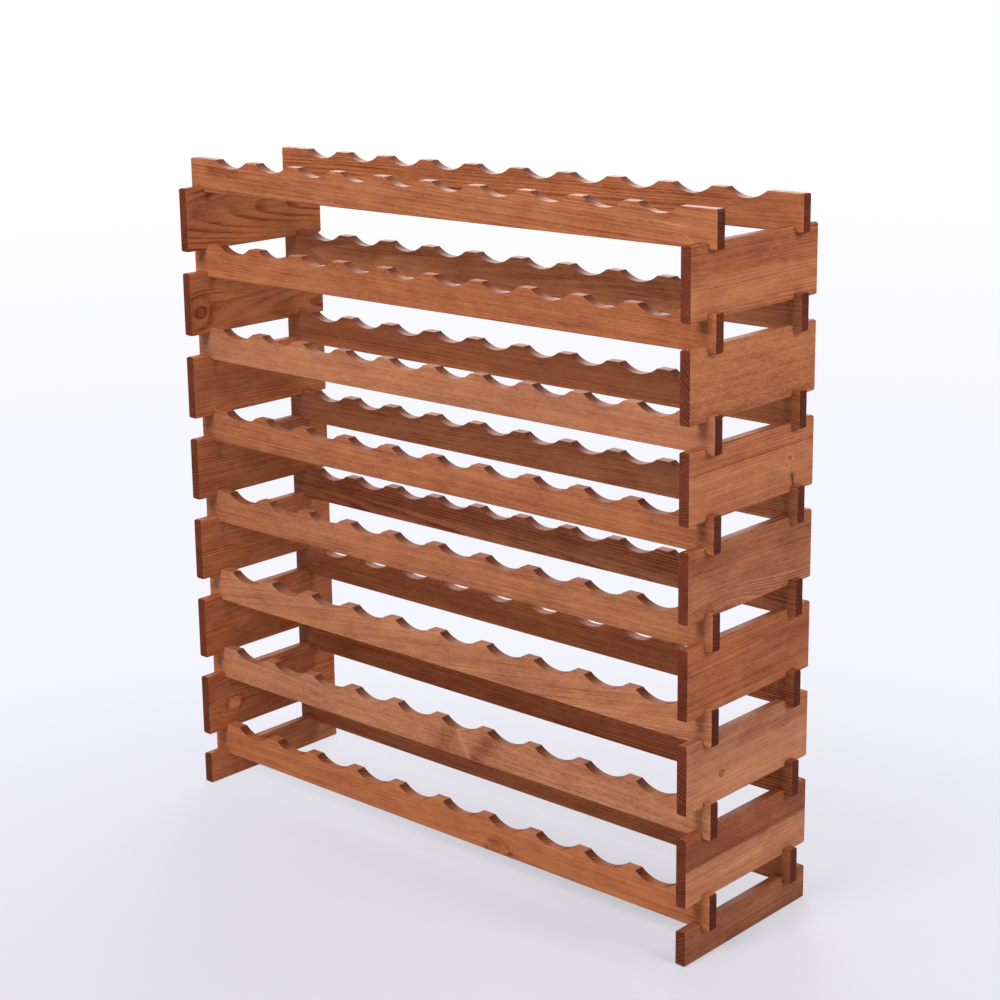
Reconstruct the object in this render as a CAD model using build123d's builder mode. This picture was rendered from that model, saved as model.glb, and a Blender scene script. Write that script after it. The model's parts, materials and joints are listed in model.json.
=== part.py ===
"""A stacking wine rack: scalloped rails and notched side boards, laid crosswise and held by their own laps.

Sizes are in millimetres. X runs along the rails, the front is towards -Y, and Z = 0 is the floor under the middle.
"""

import os

from build123d import *

# How many there are
tiers = 8
bottles_per_rail = 10

# Side boards, and the lower boards that stand on the floor
side_height = 98.0
side_depth = 280.0
side_thickness = 16.0
base_height = 50.0

# Rails
rail_height = 52.0
rail_thickness = 16.0
rail_overhang = 12.5  # past the outer face of the side boards
rail_setback = 37.0  # from the front or back end of the side boards

# Scallops that the bottles lie in
bottle_pitch = 91.2
scallop_radius = 55.0
scallop_depth = 12.0
end_margin = 18.5  # between the outermost bottle's space and the side board

# Lap joints: each crossing has a notch in the side board and a shallower housing in the rail
notch_depth = 6.5
housing_depth = 2.5
joint_clearance = 0.5  # on each side of a board in its notch

# Broken edges
side_arris = 2.0  # along the side boards
rail_arris = 1.5  # along the rails' lower edges: the scalloped edge stays crisp
corner_nip = 1.75  # at the four corners of a board's broad face

# Where the layers lie
lap_depth = notch_depth + housing_depth
tier_pitch = side_height + rail_height - 2 * lap_depth
lowest_rail_z = base_height - lap_depth
lowest_side_z = lowest_rail_z + rail_height - lap_depth

# Where the boards cross
inside_width = bottles_per_rail * bottle_pitch + 2 * end_margin
side_x = (inside_width + side_thickness) / 2
rail_length = inside_width + 2 * (side_thickness + rail_overhang)
rail_y = side_depth / 2 - rail_setback - rail_thickness / 2

# A board's broad face, seen with its lower edge on the X axis of the sketch
side_face = Plane(origin=(0, 0, 0), x_dir=(0, 1, 0), z_dir=(1, 0, 0))
rail_face = Plane(origin=(0, 0, 0), x_dir=(1, 0, 0), z_dir=(0, -1, 0))


def blank(length, height):
    """Draw a board's broad face, standing on its lower edge."""
    with Locations((0, height / 2)):
        Rectangle(length, height)


def nips(length, height):
    """Draw what breaks the four corners of a board's broad face."""
    with Locations((0, height / 2)):
        with GridLocations(length, height, 2, 2):
            RegularPolygon(corner_nip, side_count=4)


def slots(spacing, fits, depth, edge):
    """Draw two slots, spacing apart, cut to this depth into the edge at this height for a board that fits in them."""
    with Locations((0, edge)):
        with GridLocations(spacing, 0, 2, 1):
            Rectangle(fits + 2 * joint_clearance, 2 * depth)


def side_board(height, notched_below):
    """A side board, notched for the rails above it and, unless it stands on the floor, for those below."""
    with BuildPart() as board:
        with BuildSketch(side_face):
            blank(side_depth, height)
        extrude(amount=side_thickness / 2, both=True)
        chamfer(board.edges().filter_by(Axis.Y), side_arris)
        with BuildSketch(side_face):
            nips(side_depth, height)
            slots(2 * rail_y, rail_thickness, notch_depth, height)
            if notched_below:
                slots(2 * rail_y, rail_thickness, notch_depth, 0)
        extrude(amount=side_thickness, both=True, mode=Mode.SUBTRACT)
    return board.part


def scalloped_rail(carries_side):
    """A rail, scalloped along its top and housed over the side boards below it and under any above."""
    with BuildPart() as rail:
        with BuildSketch(rail_face):
            blank(rail_length, rail_height)
        extrude(amount=rail_thickness / 2, both=True)
        chamfer(rail.edges().filter_by(Axis.X).group_by(Axis.Z)[0], rail_arris)
        with BuildSketch(rail_face):
            nips(rail_length, rail_height)
            with Locations((0, rail_height - scallop_depth + scallop_radius)):
                with GridLocations(bottle_pitch, 0, bottles_per_rail, 1):
                    Circle(scallop_radius)
            slots(2 * side_x, side_thickness, housing_depth, 0)
            if carries_side:
                slots(2 * side_x, side_thickness, housing_depth, rail_height)
        extrude(amount=rail_thickness, both=True, mode=Mode.SUBTRACT)
    return rail.part


def write(piece, name, place):
    """Write a copy of a piece, under its own name, with the middle of its lower edge at this place."""
    with BuildPart() as copy:
        with Locations(place):
            add(piece)
    copy.part.label = name
    export_step(copy.part, f"parts/{name}.step")


base = side_board(base_height, notched_below=False)
side = side_board(side_height, notched_below=True)
rail = scalloped_rail(carries_side=True)
top_rail = scalloped_rail(carries_side=False)

os.makedirs("parts", exist_ok=True)

for hand, x in (("left", -side_x), ("right", side_x)):
    write(base, f"base_{hand}", (x, 0, 0))
    for tier in range(1, tiers):
        write(side, f"side_{hand}_{tier}", (x, 0, lowest_side_z + (tier - 1) * tier_pitch))

for row, y in (("front", -rail_y), ("back", rail_y)):
    for tier in range(1, tiers):
        write(rail, f"rail_{row}_{tier}", (0, y, lowest_rail_z + (tier - 1) * tier_pitch))
    write(top_rail, f"rail_{row}_{tiers}", (0, y, lowest_rail_z + (tiers - 1) * tier_pitch))
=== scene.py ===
"""Dress the stacking wine rack in stained pine and show it on a pale studio floor.

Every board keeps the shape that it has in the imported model. Here its arrises are eased and it gets its own
piece of timber: growth rings round a pith that lies somewhere beside the board, fibres, knots and stain.
Lengths are in metres and angles in degrees, in the rack's own frame: X runs along the rails, the front is
towards -Y, and Z = 0 is the floor.
"""

import json
import logging
import math
import random
from dataclasses import asdict, dataclass, fields
from enum import Enum

import bpy
from mathutils import Matrix, Vector

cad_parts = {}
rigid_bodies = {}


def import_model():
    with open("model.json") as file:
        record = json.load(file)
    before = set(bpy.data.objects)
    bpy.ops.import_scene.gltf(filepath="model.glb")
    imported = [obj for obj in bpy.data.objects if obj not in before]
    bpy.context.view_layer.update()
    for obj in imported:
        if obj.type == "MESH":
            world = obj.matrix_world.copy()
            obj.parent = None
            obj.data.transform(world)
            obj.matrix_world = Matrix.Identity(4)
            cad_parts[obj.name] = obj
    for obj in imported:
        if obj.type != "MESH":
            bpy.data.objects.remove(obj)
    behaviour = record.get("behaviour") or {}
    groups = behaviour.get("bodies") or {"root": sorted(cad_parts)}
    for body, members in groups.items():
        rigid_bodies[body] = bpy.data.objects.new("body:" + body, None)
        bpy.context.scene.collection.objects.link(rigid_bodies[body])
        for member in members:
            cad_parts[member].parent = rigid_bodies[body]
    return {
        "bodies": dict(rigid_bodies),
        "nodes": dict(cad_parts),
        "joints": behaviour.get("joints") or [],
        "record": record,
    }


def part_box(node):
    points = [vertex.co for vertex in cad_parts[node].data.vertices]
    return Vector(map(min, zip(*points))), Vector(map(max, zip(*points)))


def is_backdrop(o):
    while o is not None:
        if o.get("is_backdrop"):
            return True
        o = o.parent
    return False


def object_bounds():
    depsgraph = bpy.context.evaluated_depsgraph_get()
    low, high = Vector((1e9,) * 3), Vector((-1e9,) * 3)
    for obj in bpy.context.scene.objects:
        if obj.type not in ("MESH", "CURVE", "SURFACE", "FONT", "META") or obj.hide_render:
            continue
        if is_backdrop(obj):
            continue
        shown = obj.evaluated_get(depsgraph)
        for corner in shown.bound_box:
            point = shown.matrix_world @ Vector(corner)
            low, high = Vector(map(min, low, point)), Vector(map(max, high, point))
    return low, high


LOG = logging.getLogger("wine_rack")
MM = 0.001
EVEN = 0.5  # the level at which a pattern from 0 to 1 makes no difference
WHITE = (1.0, 1.0, 1.0, 1.0)

Triple = tuple[float, float, float]
Socket = bpy.types.NodeSocket
Sockets = bpy.types.bpy_prop_collection


class Grain(Enum):
    """Which way a board's fibres run, as the axes that lie along, across and through the board."""

    RAIL = ((1, 0, 0), (0, 0, 1), (0, -1, 0))
    SIDE_BOARD = ((0, 1, 0), (0, 0, 1), (1, 0, 0))

    @property
    def turn(self) -> Matrix:
        """The rotation from the rack's frame to the timber's own."""
        return Matrix(self.value)


class Kind(Enum):
    """What a socket of a shared group carries."""

    FLOAT = "NodeSocketFloat"
    VECTOR = "NodeSocketVector"
    COLOUR = "NodeSocketColor"


@dataclass(frozen=True)
class Ease:
    """A smooth passage from a first level to a last one, while a value goes from start to stop."""

    start: float
    stop: float
    first: float = 0.0
    last: float = 1.0


@dataclass(frozen=True)
class Pattern:
    """How fine a pattern in the wood is: how often it changes in a metre along the grain and across it."""

    along: float
    across: float
    detail: float
    rough: float = 0.5


@dataclass(frozen=True)
class Knot:
    """A branch that was sawn through, at a place on the board's broad face.

    Heart and rim are how dark its middle and its edge are, and halo is how pale the wood is round it. Narrow
    is its width across the grain as a share of its length, and spread is how many radii away it still bends
    the grain.
    """

    along: float
    across: float
    radius: float
    heart: float = 0.5
    rim: float = 0.6
    halo: float = 0.0
    narrow: float = 0.8
    spread: float = 1.7


@dataclass(frozen=True)
class Stroke:
    """A mark from one place on the board's broad face to another: a resin streak, a check, a tool mark or, on
    side_right_3, a painted reflection.

    Places are along and across the board. Depth is how much darker it is than the wood beside it: below zero,
    it is paler. Black is how much of it is charred or open, and shows the knots' colour.
    """

    start: tuple[float, float]
    end: tuple[float, float]
    width: float
    depth: float = 0.0
    black: float = 0.0


@dataclass(frozen=True)
class Timber:
    """How one board lay in its log, and how it took the stain.

    The pith's place is measured from the middle of the board, and lean is how far it strays for each metre of
    board. Slope is how far the fibres climb across the face for each metre. Line is how strongly the rings
    show: below zero, they show paler than the wood between them. Tear is how much more they show where the
    saw went across the grain. Mottle is how patchy the fibres are, and thread is how strongly long fine lines
    show. Stain is how much deeper the board took the stain than most, and a band takes it deeper still above
    its place. Tone and end_tone brighten the board and its end grain, and warmth makes it redder. On some
    boards a raised tone is painted light and a deeper stain is painted shade, as noted beside them.
    """

    seed: float
    pith_across: float
    pith_depth: float
    lean_across: float = 0.0
    lean_depth: float = 0.0
    slope: float = 0.0
    ring_width: float = 0.004
    line: float = 0.25
    tear: float = 0.1
    mottle: float = 0.4
    thread: float = 0.5
    stain: float = 0.0
    tone: float = 1.0
    warmth: float = 0.0
    end_tone: float = 1.0
    band_place: float = 0.0
    band_soft: float = 0.008
    band_depth: float = 0.0
    knots: tuple[Knot, ...] = ()
    strokes: tuple[Stroke, ...] = ()


@dataclass(frozen=True)
class Stain:
    """The colours that one stain gives: where it goes deep and where it stays light, in knots and on ends."""

    deep: Triple
    light: Triple
    knot: Triple
    side_board_end: Triple
    rail_end: Triple


@dataclass(frozen=True)
class Softbox:
    """One soft lamp: where it hangs, the side of its square face, and its power in watts."""

    name: str
    place: Triple
    size: float
    power: float


RED_BROWN = Stain(
    deep=(0.182, 0.039, 0.0142),
    light=(0.566, 0.230, 0.102),
    knot=(0.070, 0.026, 0.015),
    side_board_end=(0.119, 0.0262, 0.0113),
    rail_end=(0.079, 0.0158, 0.0077),
)
SOFTBOXES = (
    Softbox("back_softbox", (-2.2, 2.9, 2.7), 2.4, 118.0),
    Softbox("front_softbox", (0.2, -3.2, 2.9), 1.3, 132.0),
    Softbox("side_softbox", (3.4, 0.2, 2.4), 1.8, 97.0),
)
SIDE_TIMBERS = {
    "side_right_7": Timber(
        seed=11.0, pith_across=-0.15, pith_depth=0.04, ring_width=0.0044, line=0.26, tone=1.02, warmth=0.05,
        band_place=0.003, band_depth=0.17, band_soft=0.012, knots=(Knot(-0.088, -0.008, 0.0012),),
        strokes=(Stroke((-0.14, -0.044), (0.14, -0.045), 0.005, depth=0.10),),
    ),
    "side_right_6": Timber(
        seed=23.0, pith_across=0.10, pith_depth=0.09, ring_width=0.0050, line=0.08, mottle=0.8, thread=0.20,
        stain=0.05, tone=0.93, warmth=0.05,
        strokes=(
            Stroke((-0.14, -0.044), (0.14, -0.042), 0.007, depth=0.16),
            Stroke((0.102, -0.036), (0.136, -0.018), 0.0016, depth=0.14),
            Stroke((0.108, -0.041), (0.139, -0.027), 0.0014, depth=0.12),
        ),
    ),
    "side_right_5": Timber(
        seed=37.0, pith_across=0.14, pith_depth=-0.05, ring_width=0.0040, line=0.20, thread=0.42, tone=1.02,
        band_place=0.017, band_depth=0.13, band_soft=0.003,
        knots=(
            Knot(0.084, 0.000, 0.0032, heart=0.60, rim=0.4, halo=0.28),
            Knot(0.077, -0.009, 0.0024, heart=0.60, rim=0.4, halo=0.24),
        ),
        strokes=(
            Stroke((-0.14, 0.017), (0.14, 0.018), 0.0011, depth=0.20),
            Stroke((0.090, -0.025), (0.092, -0.032), 0.0038, black=1.0),
            Stroke((0.092, -0.034), (0.095, -0.043), 0.0026, black=0.9),
        ),
    ),
    "side_right_4": Timber(
        seed=41.0, pith_across=-0.09, pith_depth=0.05, slope=-0.02, ring_width=0.0030, line=-0.34, stain=0.20,
        tone=0.94, warmth=-0.10, band_place=0.004, band_depth=0.10, band_soft=0.020,
        knots=(Knot(-0.056, -0.056, 0.011, heart=0.3, rim=0.3, spread=3.2),),
    ),
    "side_right_3": Timber(
        seed=53.0, pith_across=0.13, pith_depth=0.03, slope=0.01, ring_width=0.0034, line=0.16, thread=0.45,
        stain=0.17, tone=0.97, warmth=0.12, end_tone=0.93,
        strokes=(
            Stroke((-0.13, 0.017), (0.03, 0.020), 0.0030, depth=-0.16),
            # These two thin pale strokes across the board are painted reflections: faint upright lines of
            # sheen.
            Stroke((-0.087, 0.012), (-0.086, -0.040), 0.0014, depth=-0.07),
            Stroke((0.045, 0.010), (0.046, -0.012), 0.0016, depth=-0.05),
        ),
    ),
    "side_right_2": Timber(
        seed=61.0, pith_across=0.16, pith_depth=0.05, ring_width=0.0060, line=0.12, thread=0.20, stain=-0.05,
        tone=1.01, warmth=-0.25, band_place=0.015, band_depth=0.17, band_soft=0.007,
        knots=(Knot(-0.062, -0.011, 0.0042, heart=0.42, rim=0.95),),
        strokes=(
            Stroke((-0.10, -0.018), (0.12, -0.013), 0.0050, depth=-0.12),
            Stroke((-0.14, 0.014), (0.14, 0.016), 0.0010, depth=0.12),
        ),
    ),
    "side_right_1": Timber(
        seed=73.0, pith_across=0.12, pith_depth=-0.03, ring_width=0.0032, line=0.24, thread=0.40, stain=-0.05,
        tone=1.02, warmth=-0.20, band_place=0.002, band_depth=0.38, band_soft=0.004,
        strokes=(
            Stroke((-0.06, -0.023), (0.03, -0.021), 0.0060, depth=-0.20),
            Stroke((-0.14, 0.007), (0.14, 0.006), 0.0040, depth=0.10),
        ),
    ),
    "base_right": Timber(
        seed=83.0, pith_across=-0.11, pith_depth=0.06, ring_width=0.0050, line=0.12, thread=0.25, stain=0.17,
        tone=0.79, warmth=-0.06,
    ),
    "side_left_7": Timber(
        seed=17.0, pith_across=0.006, pith_depth=-0.030, lean_depth=0.10, ring_width=0.0060, line=0.42,
        stain=0.06, warmth=0.14,
    ),
    "side_left_6": Timber(
        seed=29.0, pith_across=-0.03, pith_depth=-0.05, lean_depth=0.06, ring_width=0.0050, line=0.36,
        stain=0.04, tone=0.99, warmth=0.14,
        knots=(
            Knot(-0.121, -0.014, 0.0085, heart=0.40, rim=0.75, spread=3.4),
            Knot(-0.121, -0.014, 0.0170, heart=0.0, rim=0.30, spread=1.2),
        ),
    ),
    "side_left_5": Timber(
        seed=24.0, pith_across=-0.12, pith_depth=0.08, slope=-0.03, ring_width=0.0044, line=-0.2, stain=0.15,
        tone=1.08, warmth=0.14,
    ),
    "side_left_4": Timber(
        seed=86.0, pith_across=0.11, pith_depth=-0.035, slope=-0.01, ring_width=0.0044, line=0.26, stain=0.11,
        tone=1.03, warmth=0.08,
    ),
    # Painted light: the tone above 1.2 on side_left_3 to side_left_1 and on base_left brightens their inner
    # faces, which the lamps leave in shade.
    "side_left_3": Timber(
        seed=79.0, pith_across=-0.12, pith_depth=-0.04, slope=-0.02, ring_width=0.0040, line=0.28, stain=0.07,
        tone=1.26, warmth=0.12,
    ),
    "side_left_2": Timber(
        seed=71.0, pith_across=0.09, pith_depth=0.06, slope=0.02, ring_width=0.0036, line=0.24, stain=0.13,
        tone=1.29, warmth=0.18,
    ),
    "side_left_1": Timber(
        seed=67.0, pith_across=-0.10, pith_depth=0.05, ring_width=0.0036, line=0.3, stain=0.17, tone=1.36,
        warmth=0.16,
        knots=(
            Knot(-0.084, -0.009, 0.0125, heart=0.0, rim=0.45, halo=0.10, narrow=0.65, spread=2.4),
            Knot(-0.098, 0.031, 0.0070, heart=0.0, rim=0.45, halo=0.08, narrow=1.7),
        ),
        strokes=(
            Stroke((-0.090, -0.008), (-0.080, -0.010), 0.0095, depth=-0.46),
            Stroke((-0.098, 0.036), (-0.098, 0.028), 0.0050, depth=-0.18),
            Stroke((-0.071, -0.008), (-0.074, -0.018), 0.0022, depth=0.30),
        ),
    ),
    "base_left": Timber(
        seed=87.0, pith_across=0.10, pith_depth=0.05, ring_width=0.0040, line=0.22, stain=0.02, tone=1.24,
        warmth=0.10,
    ),
}
RAIL_TIMBERS = {
    # Partly painted shade: the stain on rail_front_8 to rail_front_4 is set deeper so that they look a little
    # shaded from above.
    "rail_front_8": Timber(
        seed=51.0, pith_across=-0.05, pith_depth=0.03, slope=-0.04, ring_width=0.0050, line=0.22, stain=0.03,
        tone=1.01, warmth=0.08, end_tone=0.95,
        strokes=(
            Stroke((0.405, 0.004), (0.455, 0.000), 0.0012, depth=-0.30),
            Stroke((0.452, -0.010), (0.466, -0.018), 0.0012, depth=-0.26),
            Stroke((-0.46, 0.012), (-0.40, 0.008), 0.0080, depth=0.22),
        ),
    ),
    "rail_front_7": Timber(
        seed=80.0, pith_across=-0.12, pith_depth=0.06, slope=-0.02, ring_width=0.0036, line=0.14, thread=0.4,
        stain=0.09, tone=1.02, warmth=0.12, end_tone=1.14,
    ),
    "rail_front_6": Timber(
        seed=82.0, pith_across=0.15, pith_depth=0.05, slope=-0.01, ring_width=0.0034, line=0.08, mottle=0.5,
        thread=0.35, stain=0.03, tone=1.05, warmth=-0.20, end_tone=0.92,
    ),
    "rail_front_5": Timber(
        seed=3.0, pith_across=-0.14, pith_depth=0.05, slope=-0.01, ring_width=0.0030, line=0.20, thread=0.6,
        stain=0.09, tone=1.02, end_tone=0.93,
    ),
    "rail_front_4": Timber(
        seed=9.0, pith_across=0.14, pith_depth=-0.04, slope=0.01, ring_width=0.0030, line=0.10, mottle=0.5,
        stain=0.06, warmth=-0.06, end_tone=1.02,
    ),
    "rail_front_3": Timber(
        seed=39.0, pith_across=-0.15, pith_depth=0.06, slope=0.14, ring_width=0.0030, line=-0.22, tear=0.5,
        mottle=0.6, thread=0.7, warmth=-0.10, end_tone=0.68, knots=(Knot(0.028, 0.002, 0.0016),),
    ),
    "rail_front_2": Timber(
        seed=27.0, pith_across=0.14, pith_depth=-0.05, slope=-0.02, ring_width=0.0030, line=0.12, mottle=0.7,
        tone=1.07, warmth=-0.22, end_tone=0.90,
        strokes=(
            Stroke((0.012, -0.012), (0.030, 0.010), 0.0150, depth=0.22),
            Stroke((0.078, -0.022), (0.105, 0.012), 0.0160, depth=0.30),
            Stroke((0.066, -0.024), (0.040, 0.020), 0.0036, depth=-0.26),
        ),
    ),
    "rail_front_1": Timber(
        seed=13.0, pith_across=-0.15, pith_depth=0.05, slope=0.005, ring_width=0.0026, line=0.15, tear=0.6,
        tone=1.05, warmth=0.16, end_tone=0.86,
        knots=(
            Knot(0.122, -0.024, 0.0200, heart=0.26, rim=0.45),
            Knot(0.118, -0.0190, 0.0060, heart=0.42, rim=0.15, narrow=0.45),
        ),
    ),
    # Partly painted shade: the back rails' deeper stain darkens them as the shade behind the front rails and
    # side boards would.
    "rail_back_3": Timber(
        seed=59.0, pith_across=0.10, pith_depth=0.04, slope=-0.01, ring_width=0.0040, line=0.24, stain=0.16,
        warmth=0.10, end_tone=0.92,
    ),
    "rail_back_2": Timber(
        seed=47.0, pith_across=-0.07, pith_depth=-0.05, slope=0.02, ring_width=0.0032, line=0.30, stain=0.22,
        warmth=0.10,
    ),
    "rail_back_1": Timber(
        seed=33.0, pith_across=0.08, pith_depth=0.06, slope=-0.02, ring_width=0.0036, line=0.28, stain=0.10,
        tone=1.03, warmth=0.04, end_tone=1.05,
    ),
}


class NodeSheet:
    """Adds nodes to one shader tree and links them as they are made."""

    number_results = ("LENGTH", "DOT_PRODUCT", "DISTANCE")

    def __init__(self, tree: bpy.types.NodeTree) -> None:
        """Start on a tree."""
        self.tree = tree

    def add(self, kind: str, inputs: dict | None = None, **settings: object) -> bpy.types.Node:
        """Add one node.

        Args:
            kind: The node's Blender type.
            inputs: What each input gets, by name or number: a socket to link or a plain value.
            settings: The node's own properties.

        Returns:
            The new node.
        """
        node = self.tree.nodes.new(kind)
        for name, value in settings.items():
            setattr(node, name, value)
        for key, value in (inputs or {}).items():
            self.feed(node.inputs[key], value)
        return node

    def feed(self, socket: Socket, value: object) -> None:
        """Link an input to what feeds it, or set its plain value.

        Args:
            socket: The input.
            value: Another node's output, or a plain value.
        """
        if isinstance(value, Socket):
            self.tree.links.new(value, socket)
        else:
            socket.default_value = value

    def math(self, operation: str, *values: object, clamp: bool = False) -> Socket:
        """Work out one number."""
        node = self.add("ShaderNodeMath", dict(enumerate(values)), operation=operation, use_clamp=clamp)
        return node.outputs[0]

    def vector(self, operation: str, *values: object) -> Socket:
        """Work out one vector, or the number that its operation gives."""
        node = self.add("ShaderNodeVectorMath", dict(enumerate(values)), operation=operation)
        return node.outputs["Value" if operation in self.number_results else "Vector"]

    def scaled(self, vector: object, factor: object) -> Socket:
        """Multiply a vector or a colour by one number."""
        node = self.add("ShaderNodeVectorMath", {"Vector": vector, "Scale": factor}, operation="SCALE")
        return node.outputs["Vector"]

    def split(self, vector: object) -> list[Socket]:
        """Take a vector apart."""
        return list(self.add("ShaderNodeSeparateXYZ", {"Vector": vector}).outputs)

    def joined(self, x: object, y: object, z: object) -> Socket:
        """Put a vector together."""
        return self.add("ShaderNodeCombineXYZ", {"X": x, "Y": y, "Z": z}).outputs["Vector"]

    def noise(self, vector: object, seed: object, detail: float = 2.0, rough: float = 0.5) -> Socket:
        """Make smooth noise.

        Args:
            vector: Where it is: one unit of it is the noise's grain.
            seed: What sets it apart from other noise.
            detail: How many finer layers it has.
            rough: How strong the finer layers are.

        Returns:
            The noise, from 0 to 1.
        """
        node = self.add(
            "ShaderNodeTexNoise",
            {"Vector": vector, "W": seed, "Scale": 1.0, "Detail": detail, "Roughness": rough},
            noise_dimensions="4D",
        )
        return node.outputs[0]

    def grain(self, place: object, seed: object, pattern: Pattern) -> Socket:
        """Draw noise out along the fibres, as fine as a pattern says."""
        stretched = self.vector("MULTIPLY", place, (pattern.along, pattern.across, pattern.across))
        return self.noise(stretched, seed, pattern.detail, pattern.rough)

    def step(self, value: object, ease: Ease) -> Socket:
        """Ease from one level to another.

        Args:
            value: What decides how far along it is.
            ease: Where it starts and stops, and the two levels.

        Returns:
            The level.
        """
        limits = {"From Min": ease.start, "From Max": ease.stop, "To Min": ease.first, "To Max": ease.last}
        node = self.add("ShaderNodeMapRange", {"Value": value, **limits}, interpolation_type="SMOOTHSTEP")
        return node.outputs[0]

    def uneven(self, noise: object, waver: float) -> Socket:
        """A factor that wavers round one, by this much in all."""
        return self.math("MULTIPLY_ADD", noise, waver, 1.0 - waver * EVEN)

    def bell(self, value: object) -> Socket:
        """One where a value is zero, falling off evenly to both sides."""
        return self.math("POWER", math.e, self.math("MULTIPLY", self.math("MULTIPLY", value, value), -1.0))

    def mix(self, factor: object, first: object, second: object) -> Socket:
        """Blend two colours."""
        inputs = {0: factor, 6: first, 7: second}
        return self.add("ShaderNodeMix", inputs, data_type="RGBA", clamp_factor=True).outputs[2]


class SharedGroup:
    """A shader node group, built once and placed in every material that uses it."""

    name = ""
    takes: dict[str, tuple[Kind, object]] = {}
    gives: dict[str, Kind] = {}

    def __init__(self) -> None:
        """Make the group's sockets and draw its nodes."""
        self.tree = bpy.data.node_groups.new(self.name, "ShaderNodeTree")
        for socket, (kind, default) in self.takes.items():
            made = self.tree.interface.new_socket(socket, in_out="INPUT", socket_type=kind.value)
            made.default_value = default
        for socket, kind in self.gives.items():
            self.tree.interface.new_socket(socket, in_out="OUTPUT", socket_type=kind.value)
        sheet = NodeSheet(self.tree)
        outputs = self.draw(sheet, sheet.add("NodeGroupInput").outputs)
        sheet.add("NodeGroupOutput", outputs)

    def draw(self, sheet: NodeSheet, given: Sockets) -> dict[str, Socket]:
        """Draw the nodes.

        Args:
            sheet: Where to draw.
            given: The group's inputs.

        Returns:
            What feeds each of the group's outputs.
        """
        raise NotImplementedError

    def place(self, sheet: NodeSheet, **inputs: object) -> Sockets:
        """Place the group in a material.

        Args:
            sheet: The material's sheet.
            inputs: What each input gets, with _ for a space in its name.

        Returns:
            The placed group's outputs.
        """
        named = {key.replace("_", " "): value for key, value in inputs.items()}
        return sheet.add("ShaderNodeGroup", named, node_tree=self.tree).outputs


class KnotFigure(SharedGroup):
    """Bends the grain round one knot, and marks its heart and its dark rim."""

    name = "knot_figure"
    takes = {
        "Position": (Kind.VECTOR, (0, 0, 0)),
        **{size.name.title(): (Kind.FLOAT, 0.0) for size in fields(Knot)},
    }
    gives = {"Position": Kind.VECTOR, "Dark": Kind.FLOAT, "Pale": Kind.FLOAT}
    waver_scale, waver_seed = 160.0, 3.0
    waver = 0.5  # how far the outline swells and shrinks
    bend_narrow = 0.38  # the grain bends in a longer shape than the knot's own
    bend = 0.88  # the most that the grain gives way
    ring_pace, ring_depth = 16.0, 0.15  # the rings in the heart
    heart_edge = Ease(1.06, 0.9)  # in radii
    rim_sharpness = 4.0
    rim_breaks = Ease(0.25, 0.65, 0.2, 1.0)
    halo_narrow = 0.5

    def draw(self, sheet: NodeSheet, given: Sockets) -> dict[str, Socket]:
        """Draw the nodes.

        Args:
            sheet: Where to draw.
            given: The group's inputs.

        Returns:
            The place with the grain bent round the knot, and how dark and how pale the wood is.
        """
        along, across, through = sheet.split(given["Position"])
        from_along = sheet.math("SUBTRACT", along, given["Along"])
        from_across = sheet.math("SUBTRACT", across, given["Across"])
        rough = sheet.noise(sheet.scaled(given["Position"], self.waver_scale), self.waver_seed)
        shortened = sheet.math("MULTIPLY", from_along, given["Narrow"])
        off = sheet.vector("LENGTH", sheet.joined(shortened, from_across, 0.0))
        radii = sheet.math("DIVIDE", off, given["Radius"])
        radii = sheet.math("MULTIPLY", radii, sheet.uneven(rough, self.waver))

        shortened = sheet.math("MULTIPLY", from_along, self.bend_narrow)
        off = sheet.vector("LENGTH", sheet.joined(shortened, from_across, 0.0))
        reach = sheet.math("MULTIPLY", given["Radius"], given["Spread"])
        gives_way = sheet.math("MULTIPLY", sheet.bell(sheet.math("DIVIDE", off, reach)), self.bend)
        keep = sheet.math("SUBTRACT", 1.0, gives_way)
        bent = sheet.math("MULTIPLY_ADD", from_across, keep, given["Across"])

        ringed = sheet.math("SINE", sheet.math("MULTIPLY", radii, self.ring_pace))
        ringed = sheet.math("MULTIPLY_ADD", ringed, self.ring_depth, 1.0 - self.ring_depth)
        heart = sheet.math("MULTIPLY", sheet.step(radii, self.heart_edge), given["Heart"])
        heart = sheet.math("MULTIPLY", heart, ringed)
        rim = sheet.math("MULTIPLY", sheet.math("SUBTRACT", radii, 1.0), self.rim_sharpness)
        rim = sheet.math("MULTIPLY", sheet.bell(rim), sheet.step(rough, self.rim_breaks))
        dark = sheet.math("MAXIMUM", heart, sheet.math("MULTIPLY", rim, given["Rim"]))
        halo = sheet.bell(sheet.math("MULTIPLY", radii, self.halo_narrow))
        return {
            "Position": sheet.joined(along, bent, through),
            "Dark": dark,
            "Pale": sheet.math("MULTIPLY", halo, given["Halo"]),
        }


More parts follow.
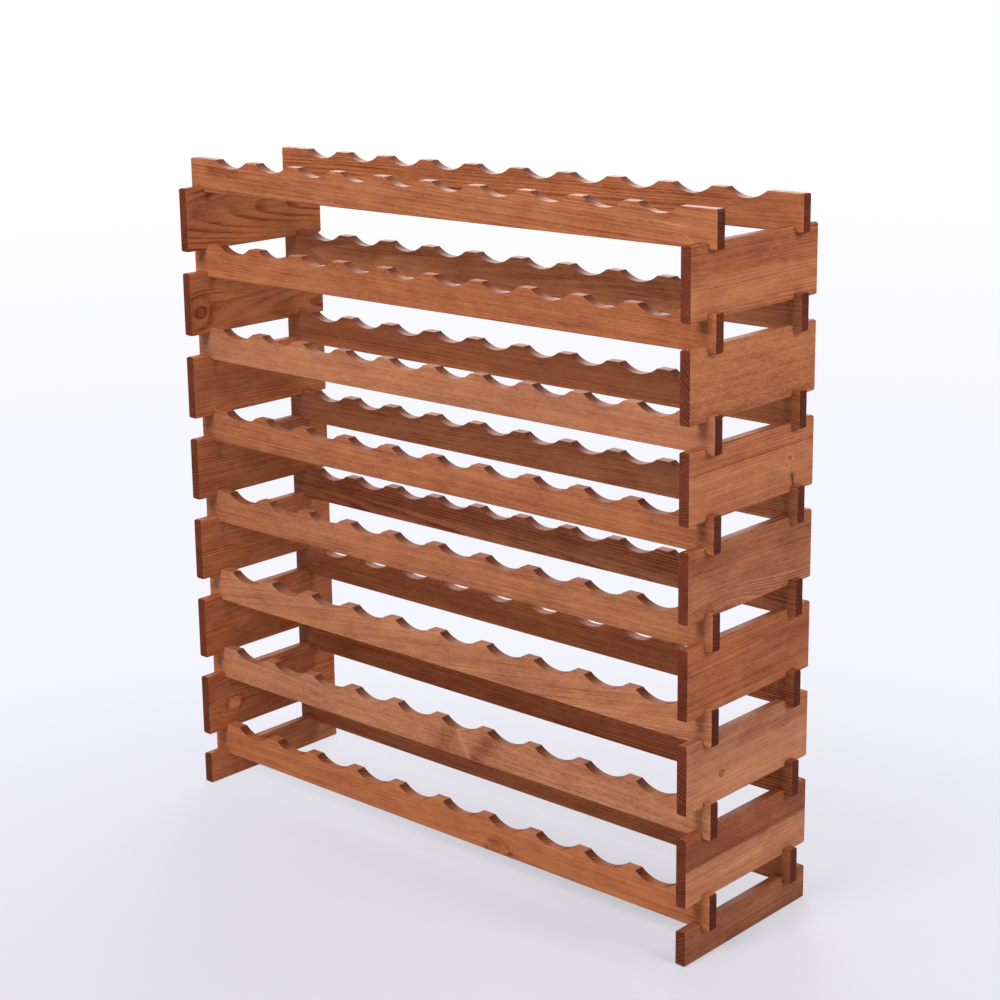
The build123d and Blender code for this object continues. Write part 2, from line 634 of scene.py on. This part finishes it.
class StrokeMark(SharedGroup):
    """Marks one stroke on a board, soft at its sides and uneven along its length."""

    name = "stroke_mark"
    takes = {
        "Position": (Kind.VECTOR, (0, 0, 0)),
        "Start": (Kind.VECTOR, (0, 0, 0)),
        "Reach": (Kind.VECTOR, (0.1, 0, 0)),
        "Width": (Kind.FLOAT, 0.002),
    }
    gives = {"Mask": Kind.FLOAT}
    on_face = (1.0, 1.0, 0.0)  # a stroke goes right through the board
    waver_scale, waver_seed = (45.0, 260.0, 0.0), 5.0
    waver = 1.2

    def draw(self, sheet: NodeSheet, given: Sockets) -> dict[str, Socket]:
        """Draw the nodes.

        Args:
            sheet: Where to draw.
            given: The group's inputs.

        Returns:
            The stroke's mask.
        """
        reach = given["Reach"]
        place = sheet.vector("MULTIPLY", given["Position"], self.on_face)
        off = sheet.vector("SUBTRACT", place, given["Start"])
        gone, whole = sheet.vector("DOT_PRODUCT", off, reach), sheet.vector("DOT_PRODUCT", reach, reach)
        share = sheet.math("DIVIDE", gone, whole, clamp=True)
        aside = sheet.vector("LENGTH", sheet.vector("SUBTRACT", off, sheet.scaled(reach, share)))
        rough = sheet.noise(sheet.vector("MULTIPLY", place, self.waver_scale), self.waver_seed)
        widths = sheet.math("DIVIDE", aside, given["Width"])
        return {"Mask": sheet.bell(sheet.math("MULTIPLY", widths, sheet.uneven(rough, self.waver)))}


class SawnTimber(SharedGroup):
    """Growth rings round a pith beside the board, and the fibres and clouds of stain that run along it."""

    name = "sawn_timber"
    patterns = {
        "Streak": Pattern(5.0, 300.0, 3.0, 0.6),
        "Thread": Pattern(9.0, 950.0, 1.0),
        "Fleck": Pattern(130.0, 700.0, 1.0),
        "Fibre": Pattern(42.0, 1900.0, 2.0),
        "Cloud": Pattern(28.0, 60.0, 3.0),
        "Blotch": Pattern(5.0, 15.0, 2.0),
    }
    takes = {
        "Position": (Kind.VECTOR, (0, 0, 0)),
        "Pith": (Kind.VECTOR, (0, 0, -0.05)),
        "Lean": (Kind.VECTOR, (0, 0, 0)),
        "Slope": (Kind.FLOAT, 0.0),
        "Ring Width": (Kind.FLOAT, 0.004),
        "Seed": (Kind.FLOAT, 0.0),
    }
    gives = dict.fromkeys(("Line", "Ring Tone", "Dash", *patterns), Kind.FLOAT)
    # How the rings swell, broadly and finely
    bulges = ((Pattern(2.4, 22.0, 2.0), 7.0 * MM), (Pattern(9.0, 160.0, 2.0), 0.8 * MM))
    year_pace, year_change = 0.55, 1.8  # how soon and how much one year's growth differs from the next
    late_wood, year_end = Ease(0.3, 0.85), Ease(1.0, 0.9)  # in shares of a year
    showing, shown = Pattern(4.0, 26.0, 1.0), Ease(0.36, 0.62, 0.25, 1.0)  # where rings stand out
    dashing, dashed = Pattern(150.0, 800.0, 0.0), Ease(0.72, 0.8)

    def draw(self, sheet: NodeSheet, given: Sockets) -> dict[str, Socket]:
        """Draw the nodes.

        Args:
            sheet: Where to draw.
            given: The group's inputs.

        Returns:
            The rings' lines and tones, and every pattern of the fibres.
        """
        seed = given["Seed"]
        along, across, through = sheet.split(given["Position"])
        climbed = sheet.math("SUBTRACT", across, sheet.math("MULTIPLY", along, given["Slope"]))
        place = sheet.joined(along, climbed, through)

        pith = sheet.vector("ADD", given["Pith"], sheet.scaled(given["Lean"], along))
        _, off_across, off_depth = sheet.split(sheet.vector("SUBTRACT", place, pith))
        grown = sheet.vector("LENGTH", sheet.joined(0.0, off_across, off_depth))
        for bulge, width in self.bulges:
            grown = sheet.math("MULTIPLY_ADD", sheet.grain(place, seed, bulge), width, grown)
        count = sheet.math("DIVIDE", grown, given["Ring Width"])
        pace = sheet.math("MULTIPLY", count, self.year_pace)
        years = sheet.noise(sheet.joined(pace, 0.0, 0.0), seed, detail=1.0)
        count = sheet.math("MULTIPLY_ADD", years, self.year_change, count)
        year = sheet.math("FLOOR", count)
        season = sheet.math("SUBTRACT", count, year)
        late = sheet.math("MULTIPLY", sheet.step(season, self.late_wood), sheet.step(season, self.year_end))
        shown = sheet.step(sheet.grain(place, seed, self.showing), self.shown)
        ring = {"Vector": sheet.joined(year, seed, 0.0)}
        return {
            "Line": sheet.math("MULTIPLY", late, shown),
            "Ring Tone": sheet.add("ShaderNodeTexWhiteNoise", ring, noise_dimensions="2D").outputs["Value"],
            "Dash": sheet.step(sheet.grain(place, seed, self.dashing), self.dashed),
            **{key: sheet.grain(place, seed, pattern) for key, pattern in self.patterns.items()},
        }


class Arris(SharedGroup):
    """Marks the narrow strip beside a board's edges, for wear where handling and sanding thin the stain and
    for a painted highlight.
    """

    name = "arris"
    takes = {
        "Point": (Kind.VECTOR, (0, 0, 0)),
        "Middle": (Kind.VECTOR, (0, 0, 0)),
        "Half": (Kind.VECTOR, (1, 1, 1)),
        "Width": (Kind.FLOAT, 0.003),
    }
    gives = {"Mask": Kind.FLOAT}
    wear_scale, wear_seed = 90.0, 7.0
    worn, strip_edge = Ease(0.25, 0.75), Ease(1.0, 0.0)

    def draw(self, sheet: NodeSheet, given: Sockets) -> dict[str, Socket]:
        """Draw the nodes.

        Args:
            sheet: Where to draw.
            given: The group's inputs.

        Returns:
            The strip's mask.
        """
        off = sheet.vector("ABSOLUTE", sheet.vector("SUBTRACT", given["Point"], given["Middle"]))
        x, y, z = sheet.split(sheet.vector("SUBTRACT", given["Half"], off))
        nearer, farther = sheet.math("MINIMUM", x, y), sheet.math("MAXIMUM", x, y)
        second = sheet.math("MAXIMUM", nearer, sheet.math("MINIMUM", farther, z))
        strip = sheet.step(sheet.math("DIVIDE", second, given["Width"]), self.strip_edge)
        scuff_and_highlight = sheet.noise(sheet.scaled(given["Point"], self.wear_scale), self.wear_seed, detail=3.0)
        return {"Mask": sheet.math("MULTIPLY", strip, sheet.step(scuff_and_highlight, self.worn), clamp=True)}


class StainCoat(SharedGroup):
    """Colours the wood: how rings, fibres, end grain, knots and edges take one stain, with a painted
    highlight on the edges.
    """

    name = "stain_coat"
    weights = {"Ring Tone": 0.10, "Streak": 0.50, "Fibre": 0.40, "Cloud": 0.50, "Blotch": 0.60}
    patterns = (*weights, "Thread", "Fleck")
    takes = {
        **dict.fromkeys(patterns, (Kind.FLOAT, EVEN)),
        **dict.fromkeys(("Line", "Dash", "End", "Arris", "Stain"), (Kind.FLOAT, 0.0)),
        **dict.fromkeys(("Dark", "Pale", "Black", "Warmth"), (Kind.FLOAT, 0.0)),
        **dict.fromkeys(("Line Depth", "Thread Depth", "Mottle", "Tone"), (Kind.FLOAT, 1.0)),
        **dict.fromkeys(("Deep Colour", "Light Colour", "End Colour", "Knot Colour"), (Kind.COLOUR, WHITE)),
    }
    gives = {"Color": Kind.COLOUR, "Roughness": Kind.FLOAT, "Height": Kind.FLOAT}
    dash_depth, knot_depth = 0.25, 0.75
    blotch_warmth, warm_green, warm_blue = 0.6, 0.42, 1.0
    end_level, end_line = 1.18, 0.7
    end_weights = {"Fibre": 0.9, "Cloud": 0.8}
    end_specks = Ease(0.62, 0.76, 0.0, 0.45)
    knot_blackens = Ease(0.25, 1.0)
    arris_share, arris_light = 0.45, 1.3
    face_roughness, streak_roughness, end_roughness = 0.5, 0.2, 0.25
    relief = {"Fibre": 0.08 * MM, "Line": 0.04 * MM, "Fleck": 0.10 * MM}

    def draw(self, sheet: NodeSheet, given: Sockets) -> dict[str, Socket]:
        """Draw the nodes.

        Args:
            sheet: Where to draw.
            given: The group's inputs.

        Returns:
            The wood's colour, roughness and relief.
        """
        centred = {key: sheet.math("SUBTRACT", given[key], EVEN) for key in self.patterns}
        face = self.face_colour(sheet, given, centred)
        end = self.end_colour(sheet, given, centred)
        wood = sheet.mix(given["End"], face, end)
        black = sheet.math("MAXIMUM", given["Black"], sheet.step(given["Dark"], self.knot_blackens))
        wood = sheet.mix(black, wood, given["Knot Colour"])
        # The edge strip is lightened partly as wear and partly as a painted highlight on the rounded edges.
        scuff_and_highlight_share = sheet.math("MULTIPLY", given["Arris"], self.arris_share)
        wood = sheet.mix(scuff_and_highlight_share, wood, sheet.scaled(wood, self.arris_light))

        rough = sheet.math("MULTIPLY_ADD", centred["Streak"], self.streak_roughness, self.face_roughness)
        rough = sheet.math("MULTIPLY_ADD", given["End"], self.end_roughness, rough, clamp=True)
        height = 0.0
        for key, depth in self.relief.items():
            height = sheet.math("MULTIPLY_ADD", given[key], depth, height)
        return {"Color": wood, "Roughness": rough, "Height": height}

    def face_colour(self, sheet: NodeSheet, given: Sockets, centred: dict[str, Socket]) -> Socket:
        """Colour the faces that lie along the grain.

        Args:
            sheet: Where to draw.
            given: The group's inputs.
            centred: The patterns, round zero.

        Returns:
            Their colour.
        """
        lines = sheet.math("MULTIPLY", given["Line"], given["Line Depth"])
        lightness = sheet.math("SUBTRACT", EVEN, lines)
        lightness = sheet.math("SUBTRACT", lightness, given["Stain"])
        lightness = sheet.math("MULTIPLY_ADD", given["Dash"], -self.dash_depth, lightness)
        lightness = sheet.math("ADD", lightness, given["Pale"])
        weights = {"Thread": given["Thread Depth"], "Fleck": given["Mottle"], **self.weights}
        for key, weight in weights.items():
            lightness = sheet.math("MULTIPLY_ADD", centred[key], weight, lightness)
        lightness = sheet.math("MULTIPLY_ADD", given["Dark"], -self.knot_depth, lightness)
        face = sheet.mix(lightness, given["Deep Colour"], given["Light Colour"])
        warmth = sheet.math("MULTIPLY_ADD", centred["Blotch"], self.blotch_warmth, given["Warmth"])
        green = sheet.math("MULTIPLY_ADD", warmth, -self.warm_green, 1.0)
        blue = sheet.math("MULTIPLY_ADD", warmth, -self.warm_blue, 1.0)
        return sheet.vector("MULTIPLY", sheet.scaled(face, given["Tone"]), sheet.joined(1.0, green, blue))

    def end_colour(self, sheet: NodeSheet, given: Sockets, centred: dict[str, Socket]) -> Socket:
        """Colour the end grain, which drinks the stain and has pale specks.

        Args:
            sheet: Where to draw.
            given: The group's inputs.
            centred: The patterns, round zero.

        Returns:
            Its colour.
        """
        level = sheet.math("MULTIPLY_ADD", given["Line"], -self.end_line, self.end_level)
        for key, weight in self.end_weights.items():
            level = sheet.math("MULTIPLY_ADD", centred[key], weight, level)
        specks = sheet.step(given["Fleck"], self.end_specks)
        return sheet.mix(specks, sheet.scaled(given["End Colour"], level), given["Light Colour"])


class PineFinish:
    """Stained pine: the groups that every board's material is put together from."""

    arris_width = 4.0 * MM
    end_face = Ease(0.1, 0.75)  # how squarely a face cuts the grain before it is end grain
    torn_from, torn_to = 0.08, 0.45  # how squarely before the saw tears it
    sawn_edge = Ease(0.9, 0.4)  # how far a face turns from the broad one before it is an edge
    edge_stain = 0.07  # painted shade: how much deeper the stain is made on the narrow faces than on the broad ones, darkening tops, lands and scallop walls
    band_wander = 12.0 * MM
    relief_strength = 0.6
    gloss = 0.07

    def __init__(self, stain: Stain) -> None:
        """Build the shared groups.

        Args:
            stain: The stain's colours.
        """
        self.stain = stain
        self.knot_figure = KnotFigure()
        self.stroke_mark = StrokeMark()
        self.sawn_timber = SawnTimber()
        self.arris = Arris()
        self.stain_coat = StainCoat()

    def figure_knots(
        self, sheet: NodeSheet, place: Socket, knots: tuple[Knot, ...]
    ) -> tuple[Socket, object, object]:
        """Bend the grain round a board's knots.

        Args:
            sheet: The material's sheet.
            place: Where a point lies along, across and through the board.
            knots: Its knots.

        Returns:
            The bent place, and how dark and how pale the wood is.
        """
        dark, pale = 0.0, 0.0
        for knot in knots:
            sizes = {name.title(): value for name, value in asdict(knot).items()}
            figure = self.knot_figure.place(sheet, Position=place, **sizes)
            place = figure["Position"]
            dark = sheet.math("MAXIMUM", figure["Dark"], dark)
            pale = sheet.math("MAXIMUM", figure["Pale"], pale)
        return place, dark, pale

    def mark_strokes(
        self, sheet: NodeSheet, place: Socket, strokes: tuple[Stroke, ...], pale: object
    ) -> tuple[object, object]:
        """Draw a board's marks.

        Args:
            sheet: The material's sheet.
            place: Where a point lies along, across and through the board.
            strokes: Its marks.
            pale: How pale the wood is without them.

        Returns:
            How pale it is with them, and how black.
        """
        black = 0.0
        for stroke in strokes:
            line = {
                "Start": (*stroke.start, 0.0),
                "Reach": (stroke.end[0] - stroke.start[0], stroke.end[1] - stroke.start[1], 0.0),
                "Width": stroke.width,
            }
            mask = self.stroke_mark.place(sheet, Position=place, **line)["Mask"]
            pale = sheet.math("MULTIPLY_ADD", mask, -stroke.depth, pale)
            black = sheet.math("MAXIMUM", sheet.math("MULTIPLY", mask, stroke.black), black)
        return pale, black

    def stain_depth(self, sheet: NodeSheet, timber: Timber, wavering: Socket, broad: Socket) -> Socket:
        """Work out how deep the stain goes, with painted shade on the narrow faces.

        Args:
            sheet: The material's sheet.
            timber: The board's timber.
            wavering: A point's place across the board, with the band's wandering in it.
            broad: How squarely it faces as the broad face does.

        Returns:
            How much deeper the stain goes there than on most boards, with the narrow faces' painted shade in
            it.
        """
        middle, soft = timber.band_place + self.band_wander * EVEN, timber.band_soft
        band = Ease(middle - soft, middle + soft, timber.stain, timber.stain + timber.band_depth)
        # Painted shade: the narrow faces are stained deeper so that tops, lands and scallop walls look
        # shaded.
        edge = sheet.step(broad, self.sawn_edge)
        return sheet.math("MULTIPLY_ADD", edge, self.edge_stain, sheet.step(wavering, band))

    def material(
        self, name: str, grain: Grain, timber: Timber, low: Vector, high: Vector
    ) -> bpy.types.Material:
        """Make one board's material.

        Args:
            name: The board's name.
            grain: Which way its fibres run.
            timber: How it lay in its log.
            low: Its lowest corner.
            high: Its highest corner.

        Returns:
            The material.
        """
        material = bpy.data.materials.new(f"stained_pine_{name}")
        material.use_nodes = True
        sheet = NodeSheet(material.node_tree)
        shader = material.node_tree.nodes["Principled BSDF"]
        middle, half = (low + high) / 2, (high - low) / 2
        end_colour = Vector(self.stain.rail_end if grain is Grain.RAIL else self.stain.side_board_end)

        point = sheet.add("ShaderNodeTexCoord").outputs
        turned = {"Location": -(grain.turn @ middle), "Rotation": grain.turn.to_euler()}
        mapping = sheet.add("ShaderNodeMapping", {"Vector": point["Object"], **turned}, vector_type="POINT")
        on_board = mapping.outputs["Vector"]
        place, dark, pale = self.figure_knots(sheet, on_board, timber.knots)
        pale, black = self.mark_strokes(sheet, on_board, timber.strokes, pale)
        wood = self.sawn_timber.place(
            sheet,
            Position=place,
            Pith=(0.0, timber.pith_across, timber.pith_depth),
            Lean=(0.0, timber.lean_across, timber.lean_depth),
            Slope=timber.slope,
            Ring_Width=timber.ring_width,
            Seed=timber.seed,
        )
        box = {"Middle": middle, "Half": half}
        edge = self.arris.place(sheet, Point=point["Object"], Width=self.arris_width, **box)
        facing, _, broad = (
            sheet.math("ABSOLUTE", sheet.vector("DOT_PRODUCT", point["Normal"], axis)) for axis in grain.value
        )
        wavering = sheet.math("MULTIPLY_ADD", wood["Blotch"], self.band_wander, sheet.split(place)[1])
        torn = Ease(self.torn_from, self.torn_to, timber.line, timber.line + timber.tear)
        coat = self.stain_coat.place(
            sheet,
            **{key.replace(" ", "_"): wood[key] for key in self.sawn_timber.gives},
            End=sheet.step(facing, self.end_face),
            Arris=edge["Mask"],
            Stain=self.stain_depth(sheet, timber, wavering, broad),
            Dark=dark,
            Pale=pale,
            Black=black,
            Line_Depth=sheet.step(facing, torn),
            Thread_Depth=timber.thread,
            Mottle=timber.mottle,
            Tone=timber.tone,
            Warmth=timber.warmth,
            Deep_Colour=(*self.stain.deep, 1.0),
            Light_Colour=(*self.stain.light, 1.0),
            End_Colour=(*(end_colour * timber.end_tone), 1.0),
            Knot_Colour=(*self.stain.knot, 1.0),
        )
        relief = {"Height": coat["Height"], "Distance": 1.0, "Strength": self.relief_strength}
        sheet.feed(shader.inputs["Base Color"], coat["Color"])
        sheet.feed(shader.inputs["Roughness"], coat["Roughness"])
        sheet.feed(shader.inputs["Normal"], sheet.add("ShaderNodeBump", relief).outputs["Normal"])
        shader.inputs["Specular IOR Level"].default_value = self.gloss
        return material


@dataclass
class Boards:
    """One kind of board of the rack, with the edges and the timber that all of them share."""

    prefixes: tuple[str, ...]
    grain: Grain
    slot: str
    arris_radius: float
    picked: dict[str, Timber]
    arris_segments: int = 3
    arris_angle: float = 30.0
    seam: float = 0.01 * MM  # faces closer than this are joined

    def nodes(self, frame: dict) -> list[bpy.types.Object]:
        """The boards of this kind, in the order of their names."""
        names = [name for name in sorted(frame["nodes"]) if name.startswith(self.prefixes)]
        return [frame["nodes"][name] for name in names]

    def timber(self, name: str) -> Timber:
        """Saw a board's timber from a log of its own.

        Args:
            name: The board's name, which also seeds its draw.

        Returns:
            Its listed timber, or one drawn for it.
        """
        if name in self.picked:
            return self.picked[name]
        draw = random.Random(name)
        return Timber(
            seed=draw.uniform(0.0, 90.0),
            pith_across=draw.uniform(-0.12, 0.12),
            pith_depth=draw.choice((-1, 1)) * draw.uniform(0.02, 0.09),
            lean_across=draw.uniform(-0.03, 0.03),
            lean_depth=draw.uniform(-0.05, 0.05),
            slope=draw.uniform(-0.04, 0.04),
            ring_width=draw.uniform(0.0024, 0.0048),
            line=draw.choice((-0.25, 0.2, 0.28, 0.36)),
            stain=draw.uniform(0.0, 0.09),
            tone=draw.uniform(0.97, 1.11),
            warmth=draw.uniform(-0.12, 0.15),
            band_place=draw.uniform(-0.02, 0.03),
            band_depth=draw.choice((0.0, 0.0, 0.08, 0.14)),
            end_tone=draw.uniform(0.78, 1.16),
        )

    def ease(self, board: bpy.types.Object) -> None:
        """Round a board's arrises as sanding does.

        Args:
            board: The board.
        """
        weld = board.modifiers.new("join_faces", "WELD")
        weld.merge_threshold = self.seam
        bevel = board.modifiers.new("eased_arris", "BEVEL")
        bevel.width = self.arris_radius
        bevel.segments = self.arris_segments
        bevel.limit_method = "ANGLE"
        bevel.angle_limit = math.radians(self.arris_angle)
        bevel.use_clamp_overlap = True
        board.modifiers.new("even_shading", "WEIGHTED_NORMAL")

    def dress(self, frame: dict, finish: PineFinish) -> None:
        """Ease and stain every board of this kind.

        Args:
            frame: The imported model.
            finish: What the boards are stained with.
        """
        for board in self.nodes(frame):
            low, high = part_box(board.name)
            material = finish.material(board.name, self.grain, self.timber(board.name), low, high)
            board.data.materials.clear()
            board.data.materials.append(material)
            self.ease(board)
            LOG.info("dressed %s", board.name)


@dataclass
class Studio:
    """The pale floor, the soft light and the camera.

    The floor's colour for the camera is painted light and shade: it is greyest at its shade and pales to
    white with the distance from there, which its fades measure, and its glow thins the rack's shadow. The
    angles are the camera's.
    """

    softboxes: tuple[Softbox, ...]
    ambient: float = 0.25
    ambient_colour: Triple = (0.96, 0.97, 1.0)
    floor_half: float = 16.0
    floor_colour: Triple = (0.61, 0.60, 0.66)
    floor_roughness: float = 0.7
    floor_gloss: float = 0.2
    floor_shade: Triple = (0.55, -0.61, 0.0)
    fade_near: float = 0.2
    fade_middle: float = 1.9
    fade_far: float = 9.0
    # glow_near is the share of painted light at the shade, which thins the rack's shadow; near_colour and
    # middle_colour are its painted colours
    glow_near: float = 0.50
    near_colour: Triple = (0.74, 0.73, 0.80)
    middle_colour: Triple = (0.92, 0.92, 0.99)
    camera_place: Triple = (2.0524, -2.2237, 1.3676)
    azimuth: float = 42.111
    elevation: float = 13.248
    roll: float = -0.698
    lens: float = 76.27
    sensor: float = 36.0
    lift: float = -0.08

    def lay_floor(self) -> None:
        """Lay the floor, whose painted glow pales from grey at its shade to white in the distance and thins
        the rack's shadow.
        """
        bpy.ops.object.select_all(action="DESELECT")
        bpy.ops.mesh.primitive_plane_add(size=2 * self.floor_half)
        floor = bpy.context.object
        floor.name = "studio_floor"
        material = bpy.data.materials.new("pale_floor")
        material.use_nodes = True
        sheet = NodeSheet(material.node_tree)
        shader = material.node_tree.nodes["Principled BSDF"]
        shader.inputs["Base Color"].default_value = (*self.floor_colour, 1.0)
        shader.inputs["Roughness"].default_value = self.floor_roughness
        shader.inputs["Specular IOR Level"].default_value = self.floor_gloss
        place = sheet.add("ShaderNodeTexCoord").outputs["Object"]
        # Painted light: for the camera, the floor's lit colour is mixed with a glow that is grey at its shade
        # and white far off.
        away = sheet.vector("DISTANCE", place, self.floor_shade)
        glows = sheet.step(away, Ease(self.fade_near, self.fade_middle, self.glow_near, 1.0))
        whitens = sheet.step(away, Ease(self.fade_near, self.fade_middle))
        glow = sheet.mix(whitens, (*self.near_colour, 1.0), (*self.middle_colour, 1.0))
        glow = sheet.mix(sheet.step(away, Ease(self.fade_middle, self.fade_far)), glow, WHITE)
        white = sheet.add("ShaderNodeEmission", {"Color": glow, "Strength": 1.0})
        share = sheet.math("MULTIPLY", glows, self.seen_ray(sheet))
        blend = sheet.add("ShaderNodeMixShader", {0: share, 1: shader.outputs[0], 2: white.outputs[0]})
        sheet.feed(material.node_tree.nodes["Material Output"].inputs["Surface"], blend.outputs[0])
        floor.data.materials.append(material)
        floor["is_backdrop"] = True

    @staticmethod
    def seen_ray(sheet: NodeSheet) -> Socket:
        """Tell the rays that show the background: to the camera, off gloss or through glass.

        Args:
            sheet: The sheet of the floor's or the room's material.

        Returns:
            One for such a ray, and zero for one that lights the rack.
        """
        path = sheet.add("ShaderNodeLightPath").outputs
        seen = sheet.math("MAXIMUM", path["Is Camera Ray"], path["Is Glossy Ray"])
        return sheet.math("MAXIMUM", seen, path["Is Transmission Ray"])

    def light_room(self) -> None:
        """Give the room its even light, and a white background."""
        world = bpy.data.worlds.new("studio")
        bpy.context.scene.world = world
        world.use_nodes = True
        sheet = NodeSheet(world.node_tree)
        glow = world.node_tree.nodes["Background"]
        glow.inputs["Color"].default_value = (*self.ambient_colour, 1.0)
        glow.inputs["Strength"].default_value = self.ambient
        white = sheet.add("ShaderNodeBackground", {"Color": WHITE, "Strength": 1.0})
        shown = {0: self.seen_ray(sheet), 1: glow.outputs[0], 2: white.outputs[0]}
        blend = sheet.add("ShaderNodeMixShader", shown)
        sheet.feed(world.node_tree.nodes["World Output"].inputs["Surface"], blend.outputs[0])

    def hang_lamp(self, softbox: Softbox, target: Vector) -> None:
        """Hang one softbox.

        Args:
            softbox: The softbox.
            target: What it points at.
        """
        bpy.ops.object.select_all(action="DESELECT")
        bpy.ops.object.light_add(type="AREA", location=softbox.place)
        lamp = bpy.context.object
        lamp.name = softbox.name
        lamp.data.shape = "SQUARE"
        lamp.data.size = softbox.size
        lamp.data.energy = softbox.power
        lamp.rotation_euler = (target - Vector(softbox.place)).to_track_quat("-Z", "Y").to_euler()

    def set_camera(self) -> None:
        """Stand the camera where the picture was taken from."""
        bpy.ops.object.select_all(action="DESELECT")
        bpy.ops.object.camera_add(location=self.camera_place)
        camera = bpy.context.object
        camera.name = "studio_camera"
        azimuth, elevation = math.radians(self.azimuth), math.radians(self.elevation)
        level = math.cos(elevation)
        back = Vector((math.sin(azimuth) * level, -math.cos(azimuth) * level, math.sin(elevation)))
        roll = Matrix.Rotation(math.radians(self.roll), 3, "Z")
        camera.rotation_euler = ((-back).to_track_quat("-Z", "Y").to_matrix() @ roll).to_euler()
        camera.data.lens = self.lens
        camera.data.sensor_width = self.sensor
        camera.data.shift_y = self.lift
        camera.data.dof.use_dof = False
        bpy.context.scene.camera = camera

    def build(self, middle: Vector) -> None:
        """Set up the studio.

        Args:
            middle: The middle of the rack, which the lamps point at.
        """
        self.lay_floor()
        self.light_room()
        for softbox in self.softboxes:
            self.hang_lamp(softbox, middle)
        self.set_camera()
        bpy.context.scene.view_settings.view_transform = "Standard"
        LOG.info("set up the studio")


def main() -> None:
    """Build the scene in order."""
    logging.basicConfig(level=logging.INFO, format="%(name)s: %(message)s")
    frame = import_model()
    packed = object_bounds()
    finish = PineFinish(RED_BROWN)
    rails = Boards(
        prefixes=("rail_",),
        grain=Grain.RAIL,
        slot="rails",
        arris_radius=0.7 * MM,
        picked=RAIL_TIMBERS,
    )
    sides = Boards(
        prefixes=("side_", "base_"),
        grain=Grain.SIDE_BOARD,
        slot="side_boards",
        arris_radius=0.9 * MM,
        picked=SIDE_TIMBERS,
    )
    for boards in (rails, sides):
        boards.dress(frame, finish)
    Studio(SOFTBOXES).build((packed[0] + packed[1]) / 2)


if __name__ == "__main__":
    main()
